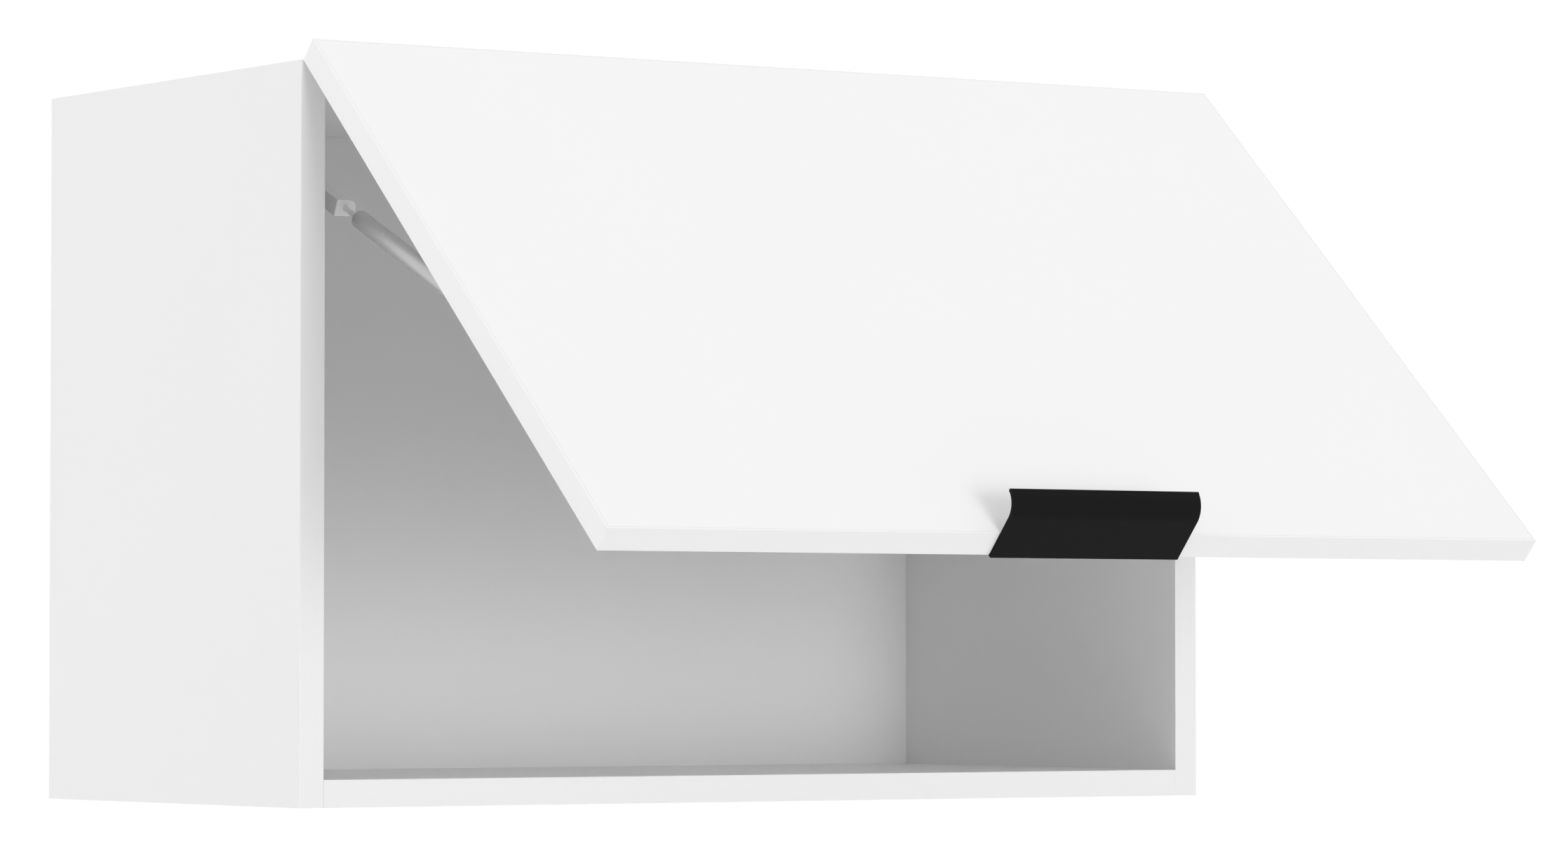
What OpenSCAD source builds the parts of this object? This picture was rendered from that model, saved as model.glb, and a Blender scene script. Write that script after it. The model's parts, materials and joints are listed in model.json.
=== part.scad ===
// Lift up wall cabinet: a white board carcass whose one-piece front swings up on two butt
// hinges and is held by a pair of gas struts. Drawn with the front open as far as it stands
// in use; x runs to the right seen from the front, -y to the front, z up, in millimetres.
// The origin is on the wall plane, under the middle of the carcass.

/* [Carcass] */
// Outer width of the carcass
carcass_w = 600; // [480:1:900]
// Outer height of the carcass
carcass_h = 400; // [360:1:600]
// Depth of the carcass, front edge bands included
carcass_d = 290; // [250:1:360]
// Thickness of the carcass boards
board_t = 15; // [12:0.5:19]
// Thickness of the edge bands
band_t = 1; // [0.4:0.1:2]
// Rounding of the edge bands' outer edges
band_r = 0.4; // [0.1:0.1:1]
// Thickness of the back panel
back_t = 3; // [2.5:0.1:5]
// Distance from the wall plane to the back panel's rear face
back_inset = 11.8; // [10:0.1:20]
// Depth of the groove that holds the back panel
groove_depth = 6; // [4:0.5:8]

/* [Front] */
// Thickness of the front
door_t = 15; // [12:0.5:19]
// Gap between the carcass and the closed front
door_gap = 1; // [0.8:0.1:2]
// How far the front stops short of the carcass outline on every side
door_reveal = 1; // [0:0.5:3]
// Angle at which the front stands open
rest_angle = 48; // [0:1:60]

/* [Butt hinges] */
// Distance between the middles of the two hinges
hinge_spacing = 430; // [300:1:480]
// Length of a hinge along its pin
hinge_len = 60; // [40:1:80]
// Width of a hinge leaf from the pin
leaf_w = 13; // [10:0.5:14]
// Thickness of a hinge leaf
leaf_t = 0.9; // [0.8:0.1:1.2]
// Outer radius of the knuckles
knuckle_r = 2.1; // [1.8:0.1:2.6]
// Radius of the hinge pin
hinge_pin_r = 1.05; // [0.8:0.05:1.2]
// Number of knuckles on a hinge
knuckle_count = 5; // [3:2:7]

/* [Gas struts] */
// Distance from a strut's axis to the inner face of the side panel
strut_inset = 23; // [20:0.5:40]
// Depth of the upper pin behind the carcass front
strut_pin_depth = 41.5; // [30:0.5:60]
// Drop of the upper pin below the carcass top
strut_pin_drop = 66.8; // [50:0.1:90]
// Distance of the lower pin from the front's top edge
strut_reach = 226.5; // [200:0.5:260]
// Distance of the lower pin from the front's inner face
strut_offset = 8; // [7:0.5:12]
// Outer radius of the cylinder
tube_r = 5; // [4.5:0.1:8]
// Wall of the cylinder
tube_wall = 1; // [0.8:0.1:1.5]
// Length of the cylinder
tube_len = 104; // [90:1:130]
// Radius of the rod
rod_r = 1.6; // [1.5:0.1:3]
// Radius of the threaded neck between the cylinder and its fitting
neck_r = 1.5; // [1.4:0.1:2.5]
// Visible length of that neck
neck_len = 21.6; // [10:0.1:30]
// Width of an end fitting along the pin
fitting_w = 12.4; // [11:0.1:16]
// Height of an end fitting
fitting_h = 9.2; // [9:0.1:12]
// From the upper pin to the front face of its fitting
upper_fitting_len = 20; // [14:0.5:30]
// From the lower pin to the front face of its fitting
lower_fitting_len = 15; // [12:0.5:20]
// Radius of the ball on a stud
ball_r = 3.2; // [3:0.05:3.4]

/* [Handle] */
// Length of the handle
handle_len = 121; // [80:1:200]
// Thickness of its flat web under the front
handle_t = 1.8; // [1.5:0.1:2.5]
// How far the flat web stands out from the front's outer face
handle_flat = 10.5; // [6:0.5:16]
// Outer radius of the curved lip
lip_r = 13; // [9:0.5:16]
// Angle through which the lip curves
lip_angle = 74; // [60:1:90]
// Height of the flange behind the front
flange_h = 22; // [16:1:30]
// Thickness of that flange
flange_t = 1.5; // [1.2:0.1:2]

/* [Wall hangers] */
// Width of a hanger case
hanger_w = 40; // [36:1:60]
// Height of a hanger case
hanger_h = 58; // [50:1:70]
// Depth of a hanger case
hanger_d = 19; // [16:0.5:24]
// Width of a wall plate
plate_w = 64; // [50:1:90]
// Distance between the screw holes of a wall plate
plate_hole_spacing = 36; // [30:1:60]
// Radius of the screw holes of a wall plate
plate_hole_r = 3.25; // [2.5:0.05:4]

/* [Connectors] */
// Radius of a cam lock
cam_r = 7.5; // [6:0.5:7.5]
// Distance from the board's end to a cam lock's middle
cam_setback = 24; // [20:1:34]
// Radius of a dowel
dowel_r = 4; // [3:0.5:4]
// Length of a dowel
dowel_len = 30; // [25:1:35]

/* [Hidden] */

$fn = 48;

// clearances
back_clear = 0.1;      // back panel in its groove
back_float = 0.5;      // back panel's edges short of the groove's bottom
fit_clear = 0.1;       // dowels, cams and cases in their holes
pin_clear = 0.05;      // hinge pins, balls, rods and pistons in their bores
run_clear = 0.3;       // faces of different moving pieces
leaf_play = 0.2;       // between the two leaves of a closed hinge
hole_spare = 0.5;      // how much deeper a blind hole is than what sits in it
over = 1;              // how far a cut runs past the face that it opens
weld = 0.1;            // how far two shapes of one piece run into each other

// carcass
inner_w = carcass_w - 2*board_t;
inner_top = carcass_h - board_t;
board_front = -carcass_d + band_t;                 // front of the bare boards
back_front = -(back_inset + back_t);               // front face of the back panel
band_round = min(band_r, 0.8*band_t);

// front, closed: its faces and edges
door_in = -(carcass_d + door_gap);                 // inner face
door_out = door_in - door_t;
door_w = carcass_w - 2*door_reveal;
door_h = carcass_h - 2*door_reveal;
door_top = carcass_h - door_reveal;
door_bottom = door_reveal;

// hinge pin: halfway across the gap, level with the front's top edge
axis_y = -(carcass_d + door_gap/2);
axis_z = door_top;

// struts: upper pin, lower pin in the closed front and where it stands open
strut_x = inner_w/2 - strut_inset;
top_pin = [-carcass_d + strut_pin_depth, carcass_h - strut_pin_drop];
low_pin_closed = [door_in + strut_offset, door_top - strut_reach];
low_pin = turned(low_pin_closed);
strut_run = top_pin[0] - low_pin[0];
strut_rise = top_pin[1] - low_pin[1];
strut_len = sqrt(strut_run*strut_run + strut_rise*strut_rise);
strut_slope = atan2(strut_rise, strut_run);

// a point [y, z] of the closed front, turned with it to where it stands
function turned(p) =
    [axis_y + (p[0] - axis_y)*cos(rest_angle) + (p[1] - axis_z)*sin(rest_angle),
     axis_z - (p[0] - axis_y)*sin(rest_angle) + (p[1] - axis_z)*cos(rest_angle)];

// ---------- helpers ----------

module box(low, high) {
    translate(low) cube(high - low);
}

// turns what is drawn on the closed front to where it stands
module on_door() {
    translate([0, axis_y, axis_z]) rotate([-rest_angle, 0, 0])
        translate([0, -axis_y, -axis_z]) children();
}

// a side view drawn as [y, z], given a width along x and centred on x = 0
module side_profile(w) {
    rotate([90, 0, 90]) translate([0, 0, -w/2]) linear_extrude(w) children();
}

// the strut's own frame: z from the lower pin to the upper one, x out to the carcass side
module on_strut(side) {
    translate([side*strut_x, low_pin[0], low_pin[1]]) rotate([strut_slope - 90, 0, 0])
        mirror([side < 0 ? 1 : 0, 0, 0]) children();
}

module rod_x(r, x0, x1) {
    translate([x0, 0, 0]) rotate([0, 90, 0]) cylinder(r = r, h = x1 - x0);
}

// ball of radius r at the origin with a round neck along +x
module ball_and_neck(r, neck, len) {
    rotate([0, 90, 0]) rotate_extrude() {
        intersection() {
            circle(r = r, $fn = 96);
            translate([0, -r]) square([r, 2*r]);
        }
        square([neck, len]);
    }
}

module rounded_plate(w, h, t, r) {
    box([-w/2 + r, -h/2, 0], [w/2 - r, h/2, t]);
    box([-w/2, -h/2 + r, 0], [w/2, h/2 - r, t]);
    for (x = [-1, 1], y = [-1, 1])
        translate([x*(w/2 - r), y*(h/2 - r), 0]) cylinder(r = r, h = t);
}

// edge band glued on y = 0: it stands out to -y, w wide along x, with its long edges rounded
module edge_band(len, w) {
    linear_extrude(len) mirror([0, 1]) intersection() {
        square([w, band_t]);
        union() {
            square([w, band_t - band_round]);
            translate([band_round, 0]) square([w - 2*band_round, band_t]);
            for (x = [band_round, w - band_round])
                translate([x, band_t - band_round]) circle(r = band_round, $fn = 32);
        }
    }
}

// ---------- screws, along -z with their heads at z = 0 ----------

head_land = 0.4;                                   // straight rim of a countersunk head
point_share = 2.5;                                 // length of a point, in shank radii
dome_share = 1.6;                                  // radius of a pan head's dome, in head radii

// countersunk screw, its head flush with z = 0
module wood_screw(r, len, head_r) {
    rotate_extrude() polygon([[0, 0], [head_r, 0], [head_r, -head_land],
        [r, -head_land - (head_r - r)], [r, -len + point_share*r], [0, -len]]);
}

// hole that such a screw fills
module screw_hole(r, len, head_r) {
    rotate_extrude() polygon([[0, over], [head_r + pin_clear, over],
        [head_r + pin_clear, -head_land], [r + pin_clear, -head_land - (head_r - r)],
        [r + pin_clear, -len - hole_spare], [0, -len - hole_spare]]);
}

// pan head screw, its head standing on z = 0
module pan_screw(r, len, head_r, head_h) {
    rotate_extrude() {
        polygon([[0, weld], [r, weld], [r, -len + point_share*r], [0, -len]]);
        intersection() {
            square([head_r, head_h]);
            translate([0, head_h - dome_share*head_r])
                circle(r = dome_share*head_r, $fn = 96);
        }
    }
}

// ---------- carcass connectors ----------

cam_from_front = 50;                               // front cams to the bare boards' front
cam_from_wall = 60;
cam_hole_depth = 12.6;
cap_t = 1.2;
cap_bevel = 0.4;
cap_sink = 0.05;                                   // cap below the board's face
cross_len = 5.2;                                   // driver cross of a cam
cross_w = 1.2;
cross_depth = 2.3;
cam_room = 2.2;                                    // hollow of a cam past its middle
bolt_grip = 10;                                    // bolts and dowels in the side panels
bolt_r = 2.5;                                      // its thread in the side panel
bolt_hole_r = 4;                                   // its bore in the top or bottom panel
bolt_hole_past = 2;                                // how far that runs past the cam's middle
bolt_collar_r = 3.2;
bolt_collar_len = 2;
bolt_shank_r = 2.4;
bolt_neck_r = 1.6;                                 // behind its head, inside the cam
bolt_neck_len = 2.6;
bolt_neck_end = 2.4;                               // from there to the cam's middle
bolt_head_r = 2.8;
bolt_head_len = 2;
bolt_tip_len = 0.8;
bolt_bevel = 1;
dowel_step = 32;                                   // from a cam to the dowel beside it
dowel_bevel = 1;
connector_y = [board_front + cam_from_front, -cam_from_wall];
joint_z = [board_t/2, carcass_h - board_t/2];

function dowel_y(cam_y) = cam_y + (cam_y < -carcass_d/2 ? dowel_step : -dowel_step);

// at each joint of a side with the top or bottom panel, x pointing into that panel
module at_joints(ys) {
    for (s = [-1, 1], z = joint_z, y = ys)
        translate([s*inner_w/2, y, z]) mirror([s > 0 ? 1 : 0, 0, 0]) children();
}

// at each cam lock, z pointing into the board from its outer face
module at_cams() {
    for (s = [-1, 1], y = connector_y, top = [0, 1])
        translate([s*(inner_w/2 - cam_setback), y, top*carcass_h])
            mirror([0, 0, top]) mirror([s < 0 ? 1 : 0, 0, 0]) children();
}

// what the connectors take out of a side panel and of a top or bottom panel's end
module joint_drilling() {
    at_joints([for (y = connector_y) dowel_y(y)])
        rod_x(dowel_r + fit_clear, -bolt_grip - hole_spare,
            dowel_len - bolt_grip + hole_spare);
    at_joints(connector_y) {
        rod_x(bolt_r + fit_clear, -bolt_grip - hole_spare, over);
        rod_x(bolt_hole_r, 0, cam_setback + bolt_hole_past);
    }
}

module cam_drilling() {
    at_cams() translate([0, 0, -over]) cylinder(r = cam_r, h = cam_hole_depth + over);
}

module dowels() color("burlywood")
    at_joints([for (y = connector_y) dowel_y(y)]) rotate([0, 90, 0]) rotate_extrude()
        polygon([[0, -bolt_grip], [dowel_r - dowel_bevel, -bolt_grip],
            [dowel_r, dowel_bevel - bolt_grip], [dowel_r, dowel_len - bolt_grip - dowel_bevel],
            [dowel_r - dowel_bevel, dowel_len - bolt_grip], [0, dowel_len - bolt_grip]]);

module cam_bolts() color("silver") {
    neck_end = cam_setback - bolt_neck_end;        // where the head starts to widen
    head_end = neck_end + bolt_bevel + bolt_head_len;
    at_joints(connector_y) rotate([0, 90, 0]) rotate_extrude()
        polygon([[0, -bolt_grip], [bolt_r - bolt_bevel/2, -bolt_grip],
            [bolt_r, bolt_bevel - bolt_grip], [bolt_r, fit_clear], [bolt_collar_r, fit_clear],
            [bolt_collar_r, bolt_collar_len], [bolt_shank_r, bolt_collar_len + bolt_bevel],
            [bolt_shank_r, neck_end - bolt_neck_len - bolt_bevel],
            [bolt_neck_r, neck_end - bolt_neck_len], [bolt_neck_r, neck_end],
            [bolt_head_r, neck_end + bolt_bevel], [bolt_head_r, head_end],
            [bolt_head_r - bolt_bevel, head_end + bolt_tip_len], [0, head_end + bolt_tip_len]]);
}

module cam_locks() color("silver")
    at_cams() difference() {
        translate([0, 0, cap_t + fit_clear])
            cylinder(r = cam_r - fit_clear, h = cam_hole_depth - cap_t - 2*fit_clear);
        // way in for the bolt's head, and the room it turns in
        translate([0, 0, board_t/2]) rod_x(bolt_head_r + run_clear, -cam_room, cam_r + over);
        for (a = [0, 90]) translate([0, 0, cap_t]) rotate([0, 0, a])
            translate([-cross_len/2, -cross_w/2, 0]) cube([cross_len, cross_w, cross_depth]);
    }

module cam_caps() color("whitesmoke")
    at_cams() rotate_extrude()
        polygon([[0, cap_sink], [cam_r - fit_clear - cap_bevel, cap_sink],
            [cam_r - fit_clear, cap_bevel], [cam_r - fit_clear, cap_t], [0, cap_t]]);

// ---------- boards ----------

slot_side = 1.5;                                   // back panel's slot beside a hook
slot_under = 3;
slot_over = 2;

// groove round the inside of the carcass for the back panel
module back_groove() {
    box([-inner_w/2 - groove_depth, back_front - back_clear, board_t - groove_depth],
        [inner_w/2 + groove_depth, -back_inset + back_clear, inner_top + groove_depth]);
}

module side_panel(side) color("whitesmoke")
    difference() {
        box([side > 0 ? inner_w/2 : -carcass_w/2, board_front, 0],
            [side > 0 ? carcass_w/2 : -inner_w/2, 0, carcass_h]);
        back_groove();
        joint_drilling();
        hanger_pegs(side, fit_clear);
        strut_screws_at(side) pan_hole();
    }

module left_side_panel() side_panel(-1);
module right_side_panel() side_panel(1);

module across_panel(z) color("whitesmoke")
    difference() {
        box([-inner_w/2, board_front, z], [inner_w/2, 0, z + board_t]);
        back_groove();
        joint_drilling();
        cam_drilling();
        hinge_mortise_top();
        hinge_screws_at_top() screw_hole(hinge_screw_r, hinge_screw_len, hinge_head_r);
    }

module top_panel() across_panel(inner_top);
module bottom_panel() across_panel(0);

module back_panel() color("gainsboro")
    difference() {
        edge = groove_depth - back_float;
        box([-inner_w/2 - edge, back_front, board_t - edge],
            [inner_w/2 + edge, -back_inset, inner_top + edge]);
        // slots that the hanger hooks pass through
        for (s = [-1, 1])
            box([s*hanger_x - hook_w/2 - slot_side, back_front - over, hook_z - slot_under],
                [s*hanger_x + hook_w/2 + slot_side, -back_inset + over,
                    hook_z + hook_t + slot_over]);
    }

module side_edge_bands() color("white")
    for (s = [-1, 1])
        translate([s > 0 ? inner_w/2 : -carcass_w/2, board_front, 0])
            edge_band(carcass_h, board_t);

module top_bottom_edge_bands() color("white")
    difference() {
        for (z = [0, inner_top])
            translate([-inner_w/2, board_front, z + board_t]) rotate([0, 90, 0])
                edge_band(inner_w, board_t);
        hinge_mortise_top();
        hinge_screws_at_top() screw_hole(hinge_screw_r, hinge_screw_len, hinge_head_r);
    }

// ---------- butt hinges ----------

hinge_screw_r = 1.5;
hinge_head_r = 2.7;
hinge_screw_len = 14;
door_screw_len = 11;
hinge_screw_step = 0.35*hinge_len;
hinge_screw_z = axis_z - 0.62*leaf_w;
hinge_pin_proud = 0.2;                             // pin beyond the outer knuckles
knuckle_pitch = hinge_len/knuckle_count;
leaf_let_in = leaf_t - (door_gap - leaf_play)/2;   // leaf sunk into each board
leaf_top_y = -carcass_d + leaf_let_in;             // back of the carcass leaf
leaf_door_y = door_in - leaf_let_in;               // back of the front's leaf

module at_hinges(sides = [-1, 1]) {
    for (s = sides) translate([s*hinge_spacing/2, 0, 0]) children();
}

module along_axis(r, x0, x1) {
    translate([0, axis_y, axis_z]) rod_x(r, x0, x1);
}

// knuckle i of a hinge, or the room that it turns in
module knuckle(i, r, spare) {
    x0 = -hinge_len/2 + i*knuckle_pitch;
    along_axis(r, x0 + run_clear/2 - spare, x0 + knuckle_pitch - run_clear/2 + spare);
}

// a leaf between two planes along y; own is 0 for the even knuckles and 1 for the odd ones
module leaf(y0, y1, own) {
    difference() {
        union() {
            difference() {
                box([-hinge_len/2, y0, axis_z - leaf_w], [hinge_len/2, y1, axis_z]);
                for (i = [1 - own : 2 : knuckle_count - 1])
                    knuckle(i, knuckle_r + run_clear, run_clear);
            }
            for (i = [own : 2 : knuckle_count - 1]) knuckle(i, knuckle_r, 0);
        }
        along_axis(hinge_pin_r + pin_clear, -hinge_len, hinge_len);
    }
}

// room for the leaves between two planes along y, and for the knuckles
module hinge_mortise(y0, y1) {
    at_hinges() {
        box([-hinge_len/2 - fit_clear, y0, axis_z - leaf_w - fit_clear],
            [hinge_len/2 + fit_clear, y1, carcass_h + over]);
        along_axis(knuckle_r + run_clear, -hinge_len/2 - run_clear, hinge_len/2 + run_clear);
    }
}

module hinge_mortise_top() hinge_mortise(-carcass_d - over, leaf_top_y);
module hinge_mortise_door() hinge_mortise(leaf_door_y, door_in + over);

module hinge_screws_at_top(sides = [-1, 1]) {
    at_hinges(sides) for (i = [-1 : 1])
        translate([i*hinge_screw_step, leaf_top_y - leaf_t, hinge_screw_z])
            rotate([90, 0, 0]) children();
}

module hinge_screws_at_door(sides = [-1, 1]) {
    at_hinges(sides) for (i = [-1 : 1])
        translate([i*hinge_screw_step, leaf_door_y + leaf_t, hinge_screw_z])
            rotate([-90, 0, 0]) children();
}

module hinge_leaf_top(side) color("silver")
    difference() {
        at_hinges([side]) leaf(leaf_top_y - leaf_t, leaf_top_y, 0);
        hinge_screws_at_top([side]) screw_hole(hinge_screw_r, hinge_screw_len, hinge_head_r);
    }

module hinge_leaf_door(side) color("silver")
    on_door() difference() {
        at_hinges([side]) leaf(leaf_door_y, leaf_door_y + leaf_t, 1);
        hinge_screws_at_door([side]) screw_hole(hinge_screw_r, door_screw_len, hinge_head_r);
    }

module hinge_leaf_top_left() hinge_leaf_top(-1);
module hinge_leaf_top_right() hinge_leaf_top(1);
module hinge_leaf_door_left() hinge_leaf_door(-1);
module hinge_leaf_door_right() hinge_leaf_door(1);

module hinge_pins() color("gray")
    at_hinges() along_axis(hinge_pin_r, -hinge_len/2 - hinge_pin_proud,
        hinge_len/2 + hinge_pin_proud);

module hinge_screws_top() color("silver")
    hinge_screws_at_top() wood_screw(hinge_screw_r, hinge_screw_len, hinge_head_r);

module hinge_screws_door() color("silver")
    on_door() hinge_screws_at_door() wood_screw(hinge_screw_r, door_screw_len, hinge_head_r);

// ---------- front ----------

bumper_r = 4;
bumper_h = door_gap - run_clear;                   // it meets the carcass just before the front
bumper_bevel = 0.4;
bumper_rise = 10;                                  // above the front's bottom edge

module door_cuts() {
    hinge_mortise_door();
    hinge_screws_at_door() screw_hole(hinge_screw_r, door_screw_len, hinge_head_r);
    // recess for the handle's flange
    box([-handle_len/2 - fit_clear, flange_in - flange_t, door_bottom - over],
        [handle_len/2 + fit_clear, door_in + over, door_bottom + flange_h + fit_clear]);
    handle_screws_at() screw_hole(handle_screw_r, door_screw_len, handle_head_r);
    for (s = [-1, 1]) door_bracket_screws_at(s) pan_hole();
}

module door_panel() color("whitesmoke")
    on_door() difference() {
        box([-door_w/2 + band_t, door_out, door_bottom + band_t],
            [door_w/2 - band_t, door_in, door_top - band_t]);
        door_cuts();
    }

module door_side_edge_bands() color("white")
    on_door() for (s = [0, 1]) mirror([s, 0, 0])
        translate([-door_w/2 + band_t, door_in, door_bottom]) rotate([0, 0, -90])
            edge_band(door_h, door_t);

module door_top_bottom_edge_bands() color("white")
    on_door() difference() {
        for (bottom = [0, 1])
            translate([-door_w/2 + band_t, door_in,
                bottom ? door_bottom + band_t : door_top - band_t])
                mirror([0, 0, bottom]) rotate([-90, 0, -90])
                    edge_band(door_w - 2*band_t, door_t);
        door_cuts();
    }

// soft pads in the front's lower corners, on its inner face
module door_bumpers() color("lightgray")
    on_door() for (s = [-1, 1])
        translate([s*(carcass_w - board_t)/2, door_in, door_bottom + bumper_rise])
            rotate([-90, 0, 0]) rotate_extrude()
                polygon([[0, 0], [bumper_r, 0], [bumper_r, bumper_h - bumper_bevel],
                    [bumper_r - bumper_bevel, bumper_h], [0, bumper_h]]);

// ---------- handle, an extruded edge pull ----------

handle_proud = 0.3;                                // flange beyond the front's inner face
flange_in = door_in + handle_proud;
lip_tip_r = 1.1;                                   // bead along the lip's edge
lip_y = door_out - handle_flat;                    // where the lip starts to curve
lip_z = door_bottom - handle_t + lip_r;            // middle of the curve
handle_screw_r = 1.5;
handle_head_r = 2.7;
handle_screw_inset = 16;                           // screws from the handle's ends

module handle_screws_at() {
    for (s = [-1, 1])
        translate([s*(handle_len/2 - handle_screw_inset), flange_in,
            door_bottom + 0.6*flange_h]) rotate([-90, 0, 0]) children();
}

module handle_profile() {
    mid_r = lip_r - handle_t/2;
    reach = 2*lip_r;
    // flange behind the front, with the web that runs under it
    translate([flange_in - flange_t, door_bottom - handle_t])
        square([flange_t, flange_h + handle_t]);
    translate([lip_y, door_bottom - handle_t]) square([flange_in - lip_y, handle_t]);
    // lip, curving up in front
    translate([lip_y, lip_z]) {
        intersection() {
            difference() {
                circle(r = lip_r, $fn = 128);
                circle(r = lip_r - handle_t, $fn = 128);
            }
            polygon([[0, 0], [0, -reach], [-reach, -reach],
                [-reach*sin(lip_angle), -reach*cos(lip_angle)]]);
        }
        translate([-mid_r*sin(lip_angle), -mid_r*cos(lip_angle)]) circle(r = lip_tip_r);
    }
}

module handle() color("#222222")
    on_door() difference() {
        side_profile(handle_len) handle_profile();
        handle_screws_at() screw_hole(handle_screw_r, door_screw_len, handle_head_r);
    }

module handle_screws() color("#333333")
    on_door() handle_screws_at() wood_screw(handle_screw_r, door_screw_len, handle_head_r);

// ---------- gas struts ----------

tube_start = strut_len - upper_fitting_len - neck_len - tube_len;
tube_lip = 1;                                      // rolled lip at the cylinder's mouth
tube_end = 3;                                      // end wall of the cylinder
tube_bevel = 0.8;
mouth_r = rod_r + 0.8;                             // cylinder's mouth round the rod
guide_len = 6;
guide_seat = 0.02;
piston_len = 4;
piston_r = tube_r - tube_wall - pin_clear;
closed_gap = 1.7;                                  // cylinder to lower fitting, front closed
piston_stop = 1.2;                                 // piston to the end wall, front closed
rod_len = tube_len - tube_end + closed_gap - piston_stop;
thread_len = 8;                                    // rod and neck inside their fittings
thread_spare = 0.2;
fitting_back = 6.5;                                // radius of a fitting's end behind its pin
socket_lip = 0.45;                                 // how far a socket's mouth grips its ball
stud_r = 2;
stud_flange_r = 6;
stud_flange_t = 1.6;
hex_r = 4.2;
hex_t = 3;

// plate on the side panel, and base on the front
bracket_t = 2;
bracket_size = 46;
bracket_corner_r = 4;
bracket_screw_edge = 5;
bracket_screw_r = 1.75;
bracket_head_r = 3.3;
bracket_head_h = 1.9;
bracket_screw_len = 11;
door_base_w = 12;
door_base_h = 46;
door_base_corner_r = 1.5;
door_base_gap = 1;                                 // base to the line of the side panel
door_base_screw_edge = 6;
door_base_screw_shift = 1.4;                       // screws out from the base's middle
ear_clear = 3.6;                                   // ear to the fitting
ear_t = 2;
ear_r = 6.5;
rivet_r = 3.4;
rivet_h = 1.4;
ear_x = strut_x + fitting_w/2 + ear_clear;         // inner face of the ear
door_base_x = inner_w/2 - door_base_gap - door_base_w/2;

module pan_hole() {
    translate([0, 0, -bracket_screw_len - hole_spare])
        cylinder(r = bracket_screw_r + pin_clear,
            h = bracket_screw_len + hole_spare + bracket_t + over);
}

module strut_screws_at(side) {
    at = bracket_size/2 - bracket_screw_edge;
    for (y = [-at, at], z = [-at, at])
        translate([side*inner_w/2, top_pin[0] + y, top_pin[1] + z]) rotate([0, -90*side, 0])
            children();
}

module door_bracket_screws_at(side) {
    at = door_base_h/2 - door_base_screw_edge;
    for (z = [-at, at])
        translate([side*(door_base_x + door_base_screw_shift), door_in, low_pin_closed[1] + z])
            rotate([-90, 0, 0]) children();
}

// plate on the side panel; the ball stud's flange stands on it
module strut_bracket_top(side) color("silver")
    difference() {
        translate([side*inner_w/2, top_pin[0], top_pin[1]]) rotate([0, -90*side, 0])
            rounded_plate(bracket_size, bracket_size, bracket_t, bracket_corner_r);
        strut_screws_at(side) pan_hole();
    }

// base on the front, with an ear that carries the ball
module strut_bracket_door(side) color("silver")
    on_door() difference() {
        mirror([side < 0 ? 1 : 0, 0, 0]) {
            translate([door_base_x, door_in, low_pin_closed[1]]) rotate([-90, 0, 0])
                rounded_plate(door_base_w, door_base_h, bracket_t, door_base_corner_r);
            translate([ear_x, low_pin_closed[0], low_pin_closed[1]]) {
                rod_x(ear_r, 0, ear_t);
                box([0, -strut_offset, -ear_r], [ear_t, 0, ear_r]);
                rod_x(rivet_r, ear_t, ear_t + rivet_h);
            }
            translate([strut_x, low_pin_closed[0], low_pin_closed[1]])
                ball_and_neck(ball_r, stud_r, ear_x - strut_x + ear_t);
        }
        door_bracket_screws_at(side) pan_hole();
    }

module strut_bracket_top_left() strut_bracket_top(-1);
module strut_bracket_top_right() strut_bracket_top(1);
module strut_bracket_door_left() strut_bracket_door(-1);
module strut_bracket_door_right() strut_bracket_door(1);

module strut_screws_top() color("gray")
    for (s = [-1, 1]) strut_screws_at(s) translate([0, 0, bracket_t])
        pan_screw(bracket_screw_r, bracket_screw_len, bracket_head_r, bracket_head_h);

module strut_screws_door() color("gray")
    on_door() for (s = [-1, 1]) door_bracket_screws_at(s) translate([0, 0, bracket_t])
        pan_screw(bracket_screw_r, bracket_screw_len, bracket_head_r, bracket_head_h);

// end fitting: a D section block that holds a ball; dir is the way its thread faces
module end_fitting(pin_z, len, dir, thread_r) {
    round_x = fitting_h/2 - fitting_w/2;           // middle of the section's round side
    translate([0, 0, pin_z]) mirror([0, 0, dir > 0 ? 1 : 0]) difference() {
        intersection() {
            translate([0, 0, -len]) linear_extrude(len + fitting_back) {
                translate([round_x, 0]) circle(r = fitting_h/2);
                translate([round_x, -fitting_h/2]) square([fitting_w - fitting_h/2, fitting_h]);
            }
            union() {
                box([-fitting_w, -fitting_h, -len - over], [fitting_w, fitting_h, 0]);
                rod_x(fitting_back, -fitting_w, fitting_w);
            }
        }
        ball_and_neck(ball_r + pin_clear, ball_r - socket_lip, fitting_w);
        translate([0, 0, -len - over])
            cylinder(r = thread_r + pin_clear, h = over + thread_len + thread_spare);
    }
}

module strut_rod(side) color("silver")
    on_strut(side) translate([0, 0, lower_fitting_len]) rotate_extrude()
        polygon([[0, -thread_len], [rod_r, -thread_len], [rod_r, rod_len - piston_len],
            [piston_r, rod_len - piston_len], [piston_r, rod_len], [0, rod_len]]);

module strut_rod_fitting(side) color("gainsboro")
    on_strut(side) end_fitting(0, lower_fitting_len, 1, rod_r);

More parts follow.
